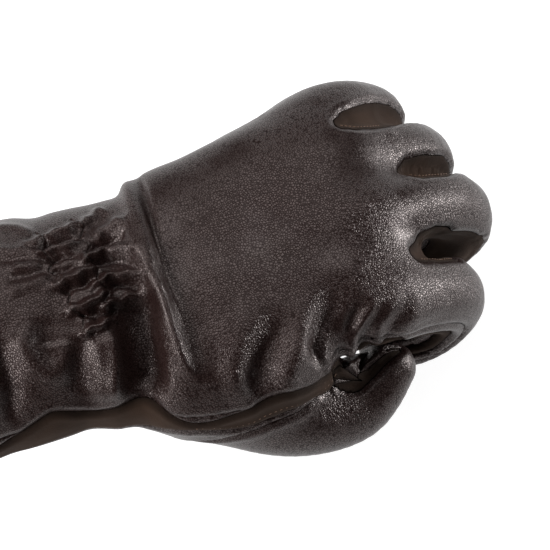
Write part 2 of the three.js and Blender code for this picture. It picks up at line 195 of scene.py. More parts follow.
def nearOnDigit(points, path):
    # nearest place on a digit's line: the distance less the radius there, and the share of its length
    best = np.full(len(points), 1e9)
    share = np.zeros(len(points))
    places, radii = path["places"], path["radii"]
    for i in range(len(places) - 1):
        gap, t = edgeGap(points, places[i], places[i + 1])
        gap = gap - radii[i] - t * (radii[i + 1] - radii[i])
        nearer = gap < best
        best[nearer] = gap[nearer]
        share[nearer] = (i + t[nearer]) / (len(places) - 1)
    return best, share


def digitAngle(points, share, path, sideAxis):
    # angle round a digit in degrees, from its bending axis over its back, and how far past its last joint
    stations = np.linspace(0, 1, len(path["places"]))
    middle = between(share, stations, path["places"])
    forward = unit(between(share, stations, path["headings"]))
    up = unit(np.cross(forward, sideAxis))
    side = np.cross(up, forward)
    away = points - middle
    upward, aside, past = [(away * axis).sum(1) for axis in (up, side, forward)]
    return np.degrees(np.arctan2(upward, aside)) % 360, past


def blend(a, b, size):
    # the smaller of two distances, rounded off where they are nearly the same
    h = np.clip(0.5 + 0.5 * (b - a) / size, 0, 1)
    return b + (a - b) * h - size * h * (1 - h)


turn = math.radians(glove["fingerTurn"])
fingerAxis = np.array([-math.sin(turn), math.cos(turn), 0])
thumbAxis = unit(np.array([0.35, 0.35, -0.87]))
paths = {name: digitPath(rows) for name, rows in digitRows.items()}


def gloveDistance(points):
    # distance to the whole skin: fingers side by side, blended into the hand, and the thumb on its own
    hand = handDistance(points)
    far = np.full(len(points), 60.0)
    gaps = {}
    for name, path in paths.items():
        reach = path["radii"].max() + 14
        low, high = path["places"].min(0) - reach, path["places"].max(0) + reach
        close = np.all((points > low) & (points < high), axis=1)
        gaps[name] = far.copy()
        gaps[name][close] = nearOnDigit(points[close], path)[0]
    fingers = gaps["index"]
    webs = np.interp(points[:, 0] - 0.5 * np.abs(points[:, 1] - 10), glove["webAt"], glove["webBlend"])
    for name in fingerNames[1:]:
        fingers = blend(fingers, gaps[name], webs)
    withFingers = blend(hand, fingers, glove["knuckleBlend"])
    thumb = blend(blend(gaps["thumb"], gaps["crotch"], 3), gaps["web"], 3)
    withThumb = blend(hand, thumb, glove["crotchBlend"])
    return np.minimum(withFingers, withThumb)


def skinMesh(low, high, step):
    # squares through the middle of every grid cell that the skin crosses
    counts = np.ceil((np.array(high) - low) / step).astype(int) // 4 * 4 + 4
    axes = [low[k] + step * np.arange(counts[k] + 1) for k in range(3)]
    coarse = np.stack(np.meshgrid(*[a[2:-1:4] for a in axes], indexing="ij"), -1)
    rough = gloveDistance(coarse.reshape(-1, 3)).reshape(coarse.shape[:3])
    spread = rough.repeat(4, 0).repeat(4, 1).repeat(4, 2)
    values = np.full(counts + 1, 9.0)
    values[:-1, :-1, :-1] = spread
    close = np.zeros(counts + 1, bool)
    near = np.abs(spread) < step * 6
    corners = np.array([[i, j, k] for i in (0, 1) for j in (0, 1) for k in (0, 1)])
    views = [tuple(slice(c, n + c) for c, n in zip(corner, counts)) for corner in corners]
    for view in views:
        close[view] |= near
    where = np.argwhere(close)
    values[close] = gloveDistance(low + where * step)
    inside = values < 0
    cells = sum(inside[view].astype(int) for view in views)
    active = np.argwhere((cells > 0) & (cells < 8))
    number = np.full(counts, -1)
    number[tuple(active.T)] = np.arange(len(active))
    held = np.stack([values[tuple((active + c).T)] for c in corners], 1)
    total = np.zeros((len(active), 3))
    hits = np.zeros(len(active))
    for a in range(8):
        for b in range(a + 1, 8):
            if np.abs(corners[a] - corners[b]).sum() == 1:
                crossed = (held[:, a] < 0) != (held[:, b] < 0)
                t = held[crossed, a] / (held[crossed, a] - held[crossed, b])
                total[crossed] += corners[a] + t[:, None] * (corners[b] - corners[a])
                hits[crossed] += 1
    points = low + (active + total / hits[:, None]) * step
    quads = []
    for axis in range(3):
        u, v = (axis + 1) % 3, (axis + 2) % 3
        start = [slice(None)] * 3
        end = [slice(None)] * 3
        start[axis], end[axis] = slice(0, -1), slice(1, None)
        first, second = inside[tuple(start)], inside[tuple(end)]
        edge = np.argwhere(first != second)
        kept = (edge[:, u] > 0) & (edge[:, v] > 0) & (edge[:, u] < counts[u]) & (edge[:, v] < counts[v])
        edge = edge[kept]
        around = []
        for du, dv in ((1, 1), (0, 1), (0, 0), (1, 0)):
            cell = edge.copy()
            cell[:, u] -= du
            cell[:, v] -= dv
            around.append(number[tuple(cell.T)])
        quad = np.stack(around, 1)
        outward = first[tuple(edge.T)]
        quad[~outward] = quad[~outward][:, ::-1]
        quads.append(quad[(quad >= 0).all(1)])
    return points, np.vstack(quads)


def slopeOf(points, step=0.05):
    # direction in which the distance grows, by differences to both sides
    slope = np.empty_like(points)
    for k in range(3):
        shift = np.zeros(3)
        shift[k] = step
        slope[:, k] = gloveDistance(points + shift) - gloveDistance(points - shift)
    return slope / (2 * step)


def settle(points, quads, rounds):
    # evens out the squares by moving each corner to its neighbours' middle, then back onto the skin
    pairs = edgesOf(quads)
    both = np.vstack([pairs, pairs[:, ::-1]])
    counts = np.bincount(both[:, 0], minlength=len(points))
    for _ in range(rounds):
        mean = np.stack([np.bincount(both[:, 0], points[both[:, 1], k], len(points)) for k in range(3)], 1)
        mean /= np.maximum(counts, 1)[:, None]
        points = points + 0.5 * (mean - points)
        slope = slopeOf(points)
        size = np.maximum((slope ** 2).sum(1), 0.25)
        points = points - slope * (np.clip(gloveDistance(points), -1, 1) / size)[:, None]
    return points, unit(slope)


print("glove: skin")
points, quads = skinMesh(*np.array(glove["box"]), glove["grid"])
points, normals = settle(points, quads, 3)
print("glove: skin has", len(points), "corners")


# raised and sunk folds of the back, each a line in plan: width and height in millimetres, and the places
# that it passes
folds = {
    "gathers": [
        (1.1, 1.6, [(-19, 16.0), (-7.1, 18.2), (3.5, 20.6)]),
        (1.5, 1.2, [(0.8, 19.6), (6.4, 23.6), (9.3, 25.1)]),
        (0.9, 1.4, [(-18, 11.2), (-9.5, 12.3), (-1.8, 12.6)]),
        (1.5, 1.7, [(1.6, 13.6), (8.4, 15.7), (13.6, 16.4)]),
        (1.0, 1.7, [(-5.7, 4.4), (1.0, 7.6), (4.2, 8.3), (8.9, 7.2), (13.2, 4.5)]),
        (1.1, 1.9, [(-15.6, -0.6), (-6.6, 1.1), (2.2, 3.4)]),
        (0.9, 1.9, [(-3.5, -3.6), (2.2, -1.0), (4.9, -0.8), (8.2, -1.6), (14, -3.2)]),
        (1.0, 1.9, [(-13, -8.6), (-7.5, -8.5), (-4.9, -8.4), (-2.1, -7.1), (2.8, -5.0)]),
        (0.8, 1.7, [(-3.4, -10.4), (3.7, -8.8), (10, -8.2)]),
        (0.9, 1.7, [(-10.7, -16.4), (-4.6, -15.5), (1.6, -13.6)]),
        (0.8, -1.5, [(1.5, -5.0), (4.5, -4.1), (7.5, -4.3), (11.5, -7)]),
        (0.9, -1.4, [(-1.5, 3.3), (3.9, 4.8), (8.4, 3.2), (11.5, 0.8)]),
        (0.8, -1.3, [(-0.2, 9.8), (4.9, 11.1), (9.5, 11.0), (12.2, 11.7)]),
        (0.7, -1.2, [(-12.6, -2.3), (-6.9, -2.3), (-1.0, -1.1)]),
        (0.6, -1.1, [(-13.7, 8.8), (-8.7, 8.8), (-3.6, 8.9)]),
        (0.7, -1.2, [(-9.3, -11.0), (-4.5, -11.4), (-1.0, -10.8)]),
        (0.6, -1.0, [(-14.6, 14.2), (-8.2, 14.7), (-1.8, 15.0)]),
        (0.7, -1.1, [(-5.4, -13.0), (0.0, -12.2), (3.7, -11.2)]),
        (0.7, -1.0, [(-13.2, 4.4), (-7.5, 4.6), (-2.6, 4.2)]),
    ],
    "cuff": [
        (1.3, 0.7, [(-25, 28), (-18.3, 24.9), (-14, 20.5)]),
        (1.3, 0.9, [(-24.0, 9.7), (-19.4, 8.5), (-14.5, 8.3)]),
        (1.5, 1.0, [(-28, 1.0), (-21.4, 1.7), (-13.0, 3.5)]),
        (1.4, 0.7, [(-30, 18), (-19.3, 14), (-13.8, 12.6)]),
        (1.3, -0.8, [(-27, 5.6), (-19, 5.2), (-13, 6.0)]),
        (1.3, -0.7, [(-28, 13), (-20, 11.4), (-14, 10.4)]),
        (2.6, 1.6, [(-6.4, -17.6), (-5.4, -20.9), (-5.6, -24.1), (-6.6, -29.2), (-8.5, -35)]),
        (1.9, 2.8, [(-2.0, -16.5), (-0.8, -20.9), (-1.2, -25.5), (-2.7, -30), (-4.5, -36)]),
        (2.4, -1.2, [(-10.4, -15), (-12.2, -20.3), (-13.5, -25.3), (-15.1, -30.8)]),
        (2.3, 1.7, [(-25.0, -8.7), (-27.0, -16.1), (-25.2, -21.9), (-21.6, -24.5), (-18.0, -24.4),
                    (-14.9, -20.4), (-11.9, -16.4), (-9.4, -14.2)]),
        (2.6, -1.2, [(-17.4, -9.6), (-19.0, -14.0), (-19.2, -18.0)]),
        (2.2, -2.8, [(-34.4, -12), (-33.9, -21.7), (-33.9, -26.9), (-37.2, -34.1)]),
        (3.4, 1.0, [(-39, -6), (-39.5, -20), (-41, -34)]),
    ],
    "wrist": [
        (2.0, 1.7, [(9.5, 22), (12.6, 16.3), (13.0, 10.0), (14.0, 4.5), (14.9, -1.0), (15.5, -5.7),
                    (16.2, -10.7), (16.5, -18.3), (16.4, -23.8), (16.7, -29.4), (17.6, -33.2),
                    (19.6, -36.8), (24, -39.4)]),
        (1.4, 1.2, [(12.5, 13), (14.0, 4.5), (14.9, -1.0), (15.5, -5.7), (16.2, -10.7), (16.5, -18.3),
                    (16.4, -23.8), (16.5, -29.4), (17.2, -32.8), (18.7, -36.3), (22.4, -39.2)]),
        (1.3, 0.6, [(13.2, -13), (12.9, -18.9), (12.5, -26.1), (12.1, -31.7), (11.9, -36.0), (12.1, -40.5)]),
        (1.8, 2.0, [(21, 47), (20, 41), (18.8, 36), (17.4, 29), (16.6, 22), (16.8, 10), (17.2, 0),
                    (17.4, -8)]),
        (3.7, -7.2, [(11, -6.6), (8.6, -12.9), (7.2, -20.5), (6.4, -26.0), (5.4, -32.4), (4.0, -40)]),
        (1.0, -1.5, [(22.0, 36), (20.9, 25), (20.4, 16.1), (19.6, 3.2), (19.5, -5.7), (19.8, -12)]),
        (1.8, -0.9, [(19.8, -4), (20.4, -14.2), (20.8, -22.2), (22.2, -29), (25.5, -35)]),
        (4.5, -1.3, [(24, 8), (24.5, -8), (24.5, -20), (26.5, -30)]),
    ],
    "hand": [
        (4.0, 2.4, [(49, -16), (40.9, -28.7), (36.3, -33.8), (31.4, -39.8), (26, -45.1)]),
        (3.0, -3.9, [(53, -22), (44.9, -31.0), (40.0, -36.0), (36.4, -42.0), (32.0, -46.1)]),
        (2.7, 2.7, [(61, -21), (55.6, -30.0), (50.9, -36.3), (44.9, -42.8), (41.6, -45.4)]),
        (2.2, -3.3, [(71, -19), (64.4, -26.5), (60.3, -31.0), (57.2, -36.2), (55.2, -42)]),
        (0.9, 1.2, [(64.2, -30.4), (60.9, -34.2), (59.0, -37.5), (59.4, -41)]),
        (1.4, -2.0, [(76.5, -24), (71.2, -29.9), (67.3, -34.3)]),
        (0.9, 1.9, [(82, -23.5), (76.2, -29.0), (71.5, -32.2), (67.9, -34.9), (64, -38)]),
        (1.5, -2.0, [(84.2, -24.8), (77.9, -30.7), (73.1, -34.2), (68.4, -37)]),
        (1.4, 1.2, [(89, -23), (84.3, -28.0), (79.5, -31.7), (73, -35.8)]),
        (1.3, -1.4, [(91.7, -25), (85.5, -30.5), (80.9, -33.3), (76.5, -35.3)]),
        (1.0, 1.1, [(95, -25), (88.5, -30.8), (83.2, -33.8), (79, -35)]),
    ],
    "knuckles": [
        (3.2, 1.0, [(69, -15.4), (73, -16.2)]),
        (5.0, 0.7, [(84, 2), (88, 3)]),
        (4.5, 0.7, [(82, 24), (86, 26)]),
    ],
}
foldShape = {
    "onBack": (-16, 12),     # folds start at this height and are full this much higher
    "reach": 4.5,            # how far a fold is worked out, in its widths
    "fade": 0.22,            # share of a fold over which each end dies out
    "handFade": 0.65,        # the same for the start of the hand's folds
    "handWide": (1.5, 0.6),  # their width where they start, and how much narrower they end
    "kept": 0.2,             # share of the height that the other folds keep at their ends
    "gathers": 1.25,         # height of the gathers against their rows
    "waver": 0.35,           # how far the gathers wander
    "groove": (0.5, 0.33),   # depth and width of the groove under the stitches
}
# the two jagged rows of stitches that hold the gathers, in plan
gatherRows = [
    [(-13.3, 20.5), (-11.3, 15.9), (-13.7, 12.0), (-10.8, 8.8), (-13.3, 5.7), (-10.5, 2.4), (-12.8, 0.2),
     (-9.2, -3.6), (-11.3, -7.6), (-7.1, -11.1), (-8.8, -15.8), (-5.8, -17.3)],
    [(-1.9, 23.2), (1.1, 18.6), (-1.2, 14.8), (1.3, 11.9), (-2.1, 6.7), (1.3, 3.5), (-0.6, -1.9),
     (2.5, -5.2), (-0.4, -8.7), (3.1, -10.7), (0.5, -14.0), (2.3, -15.6)],
]


def lineGap(spots, line):
    # plan distance to a line, and the share of the line's length at the nearest place
    steps = np.diff(line, axis=0)
    lengths = np.linalg.norm(steps, axis=1)
    starts = np.concatenate([[0], np.cumsum(lengths)])
    best = np.full(len(spots), 1e9)
    share = np.zeros(len(spots))
    for i in range(len(steps)):
        t = np.clip((spots - line[i]) @ steps[i] / lengths[i] ** 2, 0, 1)
        gap = np.linalg.norm(spots - line[i] - t[:, None] * steps[i], axis=1)
        nearer = gap < best
        best[nearer] = gap[nearer]
        share[nearer] = (starts[i] + t[nearer] * lengths[i]) / starts[-1]
    return best, share


def foldHeight(points):
    # sum over the folds: height times a bell of the plan distance to the fold's line, dying out at its ends
    look = foldShape
    total = np.zeros(len(points))
    onBack = np.clip((points[:, 2] - look["onBack"][0]) / look["onBack"][1], 0, 1)
    for group, lines in folds.items():
        plan = points[:, :2].copy()
        if group == "gathers":
            plan[:, 1] += look["waver"] * np.sin(plan[:, 0] * 1.1 + plan[:, 1] * 0.6 + 2)
        for wide, high, places in lines:
            line = np.array(places, float)
            reach = look["reach"] * wide
            box = (plan > line.min(0) - reach).all(1) & (plan < line.max(0) + reach).all(1)
            gap, share = lineGap(plan[box], line)
            start = look["handFade"] if group == "hand" else look["fade"]
            fade = np.clip(share / start, 0, 1) * np.clip((1 - share) / look["fade"], 0, 1)
            fade = fade * fade * (3 - 2 * fade)
            if group == "hand":
                wide = wide * (look["handWide"][0] - look["handWide"][1] * share)
            elif group == "knuckles":
                fade = 1.0
            else:
                fade = fade * (1 - look["kept"]) + look["kept"]
            if group == "gathers":
                high = high * look["gathers"]
            total[box] += high * fade * np.exp(-0.5 * (gap / wide) ** 2)
    deep, wide = look["groove"]
    for row in gatherRows:
        line = np.array(row, float)
        low, high = line.min(0) - 3, line.max(0) + 3
        box = (points[:, 2] > 0) & (points[:, :2] > low).all(1) & (points[:, :2] < high).all(1)
        gap = lineGap(points[box, :2], line)[0]
        total[box] -= deep * np.exp(-(gap / wide) ** 2)
    return total * onBack


# the seams, at each x: how far the side strip's edges lie above and below the hand's edge on the thumb's
# side, in degrees, and how far below the little finger's edge the back ends
sideSeam = np.array([[-66, 2, 16], [-41, 6, 16], [-36, 10, 16], [-29, 18, 15], [-23, 22, 14], [-11, 13, 14],
                     [-1, 20, 14], [6, 23, 12], [10, 14, 5], [15, 7, 3], [20, 6, 4], [29, 10, 6],
                     [39, 15, 4], [47, 15, 5], [54, 5, 12], [58, -2, 20], [64, -14, 30]], float)
ulnarSeam = np.array([[-66, 11], [40, 11], [58, 2], [78, 29], [84, 40]], float)
seams = {
    "radius": 33,                 # turns degrees round the hand into millimetres
    "sideEnd": 62,                # x where the side strip ends
    "thick": 5,                   # how far above or below the skin a strip of the hand still counts
    "onDigit": (2.5, 2.2),        # the same for the digits' strips and for the thumb's leather
    "indexRoot": (192, 210),      # degrees round the hand that the index finger's strip starts with
    "indexFrom": (60, 84),        # and the x between which it does
    "indexSide": (203, 226),      # degrees round the index finger that its strip covers
    "thumbSide": [[0.6, 118, 135], [0.72, 132, 154], [0.85, 156, 175], [1, 156, 174]],  # share, degrees
    "gusset": ((65, -35, -7.5), (70.6, -39.7, -13.6), (60.0, -39.8, -5.0)),
    "gussetFacing": (-0.12, -0.405, 0.906),
    "starts": {"thumb": 0.62, "index": 0.22, "panel": 0.22, "palm": 0.12},  # shares of the digits' lengths
    "tip": 0.85,                  # strips end this far past the last joint, in the digit's radius
    "leafDeep": (14, 11),         # lowest place of a leaf, and how far into the fingers it goes
}
# the openings between two fingers. slit: x, y and half width of the brown leaf seen from above. near and
# far: share of a finger's length and the degrees round it where its leather ends, on the finger before and
# behind the slit. under: the degrees where the brown ends on the finger behind
slits = {
    "index": {
        "beside": "middle", "under": 258,
        "slit": [[95.6, -12.2, 0.2], [97, -10.6, 2.6], [101.5, -8, 4.1], [106.4, -6, 4.2], [110, -5, 4]],
        "near": [[0.46, 71], [0.55, 68], [0.62, 54], [0.71, 44], [1, 42]],
        "far": [[0.37, 178], [0.42, 170], [0.49, 170], [0.59, 166], [0.65, 146], [0.75, 138], [1, 138]],
    },
    "middle": {
        "beside": "ring", "under": 222,
        "slit": [[100.4, 17.8, 0.2], [102, 17.8, 2.7], [104.4, 18.2, 4.0], [108.4, 19.4, 4.7],
                 [112, 20.5, 5]],
        "near": [[0.38, 64], [0.46, 63], [0.55, 44], [1, 42]],
        "far": [[0.38, 133], [0.45, 129], [0.51, 126], [0.55, 124], [0.62, 138], [1, 138]],
    },
    "ring": {
        "beside": "little", "under": 222,
        "slit": [[83.8, 33.4, 0.2], [86.4, 34.5, 2.7], [90, 35.6, 4.3], [94, 36.8, 4.7], [99, 39, 5],
                 [103, 41, 4.5]],
        "near": [[0.31, 67], [0.35, 66], [0.42, 50], [0.54, 42], [1, 42]],
        "far": [[0.37, 116], [0.45, 111], [0.52, 111], [0.58, 119], [0.64, 138], [1, 138]],
    },
}


def bandRound(angle, low, high, radius):
    # how far outside a band of angles a point lies, in millimetres round the circle
    middle, half = (low + high) / 2, (high - low) / 2
    away = np.abs((angle - middle + 180) % 360 - 180)
    return np.radians(away - half) * radius


def panelFields(points):
    # for each strip, a distance that is below zero on it; the last tells the palm from the back
    hand, angle = handDistance(points), handAngle(points)
    x = points[:, 0]
    near = {}
    for name, path in paths.items():
        axis = thumbAxis if name == "thumb" else fingerAxis
        gap, share = nearOnDigit(points, path)
        turned, past = digitAngle(points, share, path, axis)
        radius = np.interp(share, np.linspace(0, 1, len(path["radii"])), path["radii"])
        near[name] = {"gap": gap, "share": share, "angle": turned, "radius": radius, "past": past,
                      "length": path["length"]}

    def strip(name, low, high, start):
        # on a digit, the largest of the distances to its band of degrees, to both ends and to the skin
        d = near[name]
        sides = bandRound(d["angle"], low, high, d["radius"])
        ends = [(start - d["share"]) * d["length"], d["past"] - seams["tip"] * d["radius"]]
        return np.maximum.reduce([sides, *ends, d["gap"] - seams["onDigit"][0]])

    radius, starts, onHand = seams["radius"], seams["starts"], np.abs(hand) - seams["thick"]
    top, bottom = alongTable(sideSeam, 1, x), alongTable(sideSeam, 2, x)
    side = np.radians(np.maximum(180 - top - angle, angle - 180 - bottom)) * radius
    fields = {"side_strip": np.maximum.reduce([side, x - seams["sideEnd"], onHand])}
    corners = np.array(seams["gusset"], float)
    facing = np.array(seams["gussetFacing"])
    walls = []
    for i in range(3):
        a, b, c = corners[i], corners[(i + 1) % 3], corners[(i + 2) % 3]
        out = unit(np.cross(b - a, facing))
        out = out if (c - a) @ out < 0 else -out
        walls.append((points - a) @ out)
    depth = (points - corners.mean(0)) @ facing
    fields["thumb_gusset"] = np.maximum.reduce(walls + [np.abs(depth) - seams["thick"]])
    rows = np.array(seams["thumbSide"])
    edges = [np.interp(near["thumb"]["share"], rows[:, 0], rows[:, k]) for k in (1, 2)]
    fields["fourchette_thumb"] = strip("thumb", *edges, starts["thumb"])
    low, high = seams["indexRoot"]
    root = np.radians(np.maximum(low - angle, angle - high)) * radius
    low, high = seams["indexFrom"]
    root = np.maximum.reduce([root, low - x, x - high, onHand])
    fields["index_strip"] = np.minimum(root, strip("index", *seams["indexSide"], starts["index"]))
    for name, web in slits.items():
        other = web["beside"]
        line = np.array(web["slit"], float)
        leaf = np.full(len(points), 1e9)
        for a, b in zip(line[:-1], line[1:]):
            across, t = edgeGap(points[:, :2], a[:2], b[:2])
            leaf = np.minimum(leaf, across - a[2] - t * (b[2] - a[2]))
        inside = np.maximum(near[name]["gap"], near[other]["gap"])
        leaf = np.maximum.reduce([leaf, -points[:, 2] - seams["leafDeep"][0], inside - seams["leafDeep"][1]])
        nearRows, farRows = np.array(web["near"], float), np.array(web["far"], float)
        upper = np.interp(near[name]["share"], nearRows[:, 0], nearRows[:, 1])
        lower = np.interp(near[other]["share"], farRows[:, 0], farRows[:, 1])
        before = strip(name, -42, upper, nearRows[0, 0])
        behind = strip(other, lower, web["under"], farRows[0, 0])
        fields[f"fourchette_{name}_{other}"] = np.minimum(leaf, np.minimum(before, behind))
    thumb = near["thumb"]
    before = (starts["panel"] - thumb["share"]) * thumb["length"]
    fields["thumb_panel"] = np.maximum(thumb["gap"] - seams["onDigit"][1], before)
    below = alongTable(ulnarSeam, 1, x)
    palm = np.radians(np.minimum((angle + below + 180) % 360 - 180, 180 - angle)) * radius
    nearest = np.full(len(points), 1e9)
    for name in fingerNames:
        d = near[name]
        on = (d["gap"] < nearest) & (d["gap"] < hand) & (d["share"] > starts["palm"])
        palm[on] = (np.sin(np.radians(d["angle"])) * d["radius"])[on]
        nearest = np.minimum(nearest, d["gap"])
    fields["palm_panel"] = palm
    return fields


def refine(points, normals, triangles, chosen):
    # cuts each edge between two chosen corners in half, and each triangle into two, three or four
    edges = np.sort(edgesOf(triangles), axis=1)
    edges, back = np.unique(edges, axis=0, return_inverse=True)
    back = back.ravel().reshape(3, -1).T
    split = chosen[edges].all(1)
    middle = np.where(split, len(points) + np.cumsum(split) - 1, -1)
    a, b = edges[split].T
    halfway, out = (points[a] + points[b]) / 2, unit(normals[a] + normals[b])
    points = np.vstack([points, halfway - out * gloveDistance(halfway)[:, None]])
    normals = np.vstack([normals, out])
    cuts = split[back]
    count = cuts.sum(1)
    parts = [triangles[count == 0]]
    first = np.where(count == 2, (cuts.argmin(1) + 1) % 3, cuts.argmax(1))
    rows = np.arange(len(triangles))
    corner = np.stack([triangles[rows, (first + k) % 3] for k in range(3)], 1)
    mid = middle[np.stack([back[rows, (first + k) % 3] for k in range(3)], 1)]
    one, two, three = count == 1, count == 2, count == 3
    c, m = corner[one], mid[one]
    parts += [np.stack([c[:, 0], m[:, 0], c[:, 2]], 1), np.stack([m[:, 0], c[:, 1], c[:, 2]], 1)]
    c, m = corner[two], mid[two]
    parts += [np.stack([m[:, 0], c[:, 1], m[:, 1]], 1), np.stack([c[:, 0], m[:, 0], m[:, 1]], 1),
              np.stack([c[:, 0], m[:, 1], c[:, 2]], 1)]
    c, m = corner[three], mid[three]
    parts += [np.stack([c[:, 0], m[:, 0], m[:, 2]], 1), np.stack([m[:, 0], c[:, 1], m[:, 1]], 1),
              np.stack([m[:, 2], m[:, 1], c[:, 2]], 1), m]
    return points, normals, np.vstack(parts)


def distanceTo(points, others, reach=6.0):
    # distance to the nearest of the others, worked out cell by cell, and the reach where none is near
    away = np.full(len(points), reach)
    low = points.min(0) - reach
    cells = ((points - low) // reach).astype(int)
    otherCells = ((others - low) // reach).astype(int)
    code = cells @ [1000000, 1000, 1]
    order = np.argsort(code, kind="stable")
    starts = np.flatnonzero(np.diff(code[order], prepend=-1))
    for group in np.split(order, starts[1:]):
        near = others[(np.abs(otherCells - cells[group[0]]) <= 1).all(1)]
        if len(near):
            gaps = np.linalg.norm(points[group][:, None] - near[None], axis=2).min(1)
            away[group] = np.minimum(away[group], gaps)
    return away


def compact(points, triangles, data):
    # the corners that the triangles use, numbered anew
    used, triangles = np.unique(triangles, return_inverse=True)
    return points[used], triangles.reshape(-1, 3), data[used]


def cutAlong(mesh, column, level):
    # splits the triangles where one column of the data passes a level: the part below it, and the part above
    points, triangles, data = mesh
    value = data[:, column] - level
    above = value > 0
    count = above[triangles].sum(1)
    mixed = triangles[(count == 1) | (count == 2)]
    flags = above[mixed]
    odd = np.where(flags.sum(1) == 1, flags.argmax(1), (~flags).argmax(1))
    rows = np.arange(len(mixed))
    mixed = np.stack([mixed[rows, (odd + k) % 3] for k in range(3)], 1)
    edges = np.sort(np.vstack([mixed[:, [0, 1]], mixed[:, [0, 2]]]), axis=1)
    edges, back = np.unique(edges, axis=0, return_inverse=True)
    back = back.ravel()
    a, b = edges[:, 0], edges[:, 1]
    t = (value[a] / (value[a] - value[b]))[:, None]
    points = np.vstack([points, points[a] + t * (points[b] - points[a])])
    data = np.vstack([data, data[a] + t * (data[b] - data[a])])
    p, q = len(value) + back[:len(mixed)], len(value) + back[len(mixed):]
    tips = np.stack([mixed[:, 0], p, q], 1)
    rest = np.stack([p, mixed[:, 1], mixed[:, 2], p, mixed[:, 2], q], 1)
    tipAbove = flags[rows, odd]
    low = np.vstack([triangles[count == 0], tips[~tipAbove], rest[tipAbove].reshape(-1, 3)])
    high = np.vstack([triangles[count == 3], tips[tipAbove], rest[~tipAbove].reshape(-1, 3)])
    return compact(points, low, data), compact(points, high, data)


def rimEdges(triangles):
    # edges that belong to one triangle only, in that triangle's order
    edges = edgesOf(triangles)
    key = np.sort(edges, axis=1)
    _, back, counts = np.unique(key, axis=0, return_inverse=True, return_counts=True)
    return edges[counts[back.ravel()] == 1]


def meshNormals(points, triangles):
    # sum of the triangles' cross products at each corner
    corner = points[triangles]
    cross = np.cross(corner[:, 1] - corner[:, 0], corner[:, 2] - corner[:, 0])
    corner = triangles.ravel()
    total = [np.bincount(corner, np.repeat(cross[:, k], 3), len(points)) for k in range(3)]
    return unit(np.stack(total, 1))


def placeMesh(name, points, faces):
    # a smooth mesh object at the origin, its corners turned from millimetres into metres
    mesh = bpy.data.meshes.new(name)
    mesh.from_pydata((points * mm).tolist(), [], faces.tolist())
    mesh.polygons.foreach_set("use_smooth", np.ones(len(mesh.polygons), bool))
    mesh.update()
    piece = bpy.data.objects.new(name, mesh)
    bpy.context.collection.objects.link(piece)
    return piece


print("glove: panels")
triangles = np.vstack([quads[:, [0, 1, 2]], quads[:, [0, 2, 3]]])
x, y, z = points.T
fields = np.stack(list(panelFields(points).values()))
folded = (np.abs(fields).min(0) < glove["nearSeam"]) & (z > glove["seamAbove"])
for xFrom, xTo, yBelow, zAbove in fineAreas:
    folded |= (x > xFrom) & (x < xTo) & (y < yBelow) & (z > zAbove)
points, normals, triangles = refine(points, normals, triangles, folded)
gathered = np.zeros(len(points), bool)
for row in gatherRows:
    gap = lineGap(points[:, :2], np.array(row, float))[0]
    gathered |= (points[:, 2] > 4) & (gap < glove["nearGathers"])
points, normals, triangles = refine(points, normals, triangles, gathered)
points = points + normals * foldHeight(points)[:, None]
fields = panelFields(points)
fieldNames = list(fields)
normals = meshNormals(points, triangles)
data = np.column_stack([normals, points[:, 0] - glove["mouth"]] + [fields[name] for name in fieldNames])
rest = cutAlong((points, triangles, data), 3, 0)[1]
panels = {}
for number, name in enumerate(fieldNames):
    panels[name] = cutAlong(rest, 4 + number, -glove["seamGap"])[0]
    rest = cutAlong(rest, 4 + number, glove["seamGap"])[1]
panels["back_panel"] = rest

seamPoints = []
for name, (points, triangles, data) in panels.items():
    rim = np.unique(rimEdges(triangles))
    seamPoints.append(points[rim][data[rim, 3] > glove["mouthRim"]])
seamPoints = np.vstack(seamPoints)


def shellOf(name, mesh):
    # the panel drawn in along its seams, with an inner wall at the same normals and a rim that joins both
    points, triangles, data = mesh
    normals = unit(data[:, :3])
    away = distanceTo(points, seamPoints)
    draw = glove["seamDeep"] * np.exp(-(away / glove["seamWide"]) ** 2)
    if name.startswith("fourchette"):
        deep, deeper, wide = glove["leaf"]
        draw = deep + deeper * (1 - np.exp(-(away / wide) ** 2))
    high, at, wide = glove["swell"]
    swell = high * np.exp(-((away - at) / wide) ** 2)
    outer = points + normals * (swell - draw)[:, None]
    inner = outer - normals * glove["wall"]
    rim = rimEdges(triangles)
    count = len(points)
    walls = np.stack([rim[:, 1], rim[:, 0], rim[:, 0] + count, rim[:, 1] + count], 1)
    walls = np.vstack([walls[:, [0, 1, 2]], walls[:, [0, 2, 3]]])
    faces = np.vstack([triangles, triangles[:, ::-1] + count, walls])
    piece = placeMesh(name + "_skin", np.vstack([outer, inner]), faces)
    seam = piece.data.attributes.new("seam", "FLOAT", "POINT")
    seam.data.foreach_set("value", np.tile(away, 2).astype(np.float32))
    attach(piece, "root")
    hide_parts(name)
    print("glove:", name, len(faces), "triangles")
    return piece


skins = {name: shellOf(name, mesh) for name, mesh in panels.items()}


def onSkin(places):
    # moves places onto the folded skin: four steps down the distance, then out by the fold's height
    places = np.array(places, float)
    for _ in range(4):
        slope = unit(slopeOf(places))
        places = places - slope * gloveDistance(places)[:, None]
    slope = unit(slopeOf(places))
    return places + slope * foldHeight(places)[:, None], slope


rimRow = {
    "length": 14.0,   # how far along the slit the row goes
    "station": 0.6,   # step along it
    "near": 0.45,     # how far on both sides of a station the rim is looked for
    "aside": 0.35,    # how far inside the rim the stitches lie
    "lowest": -12,
}


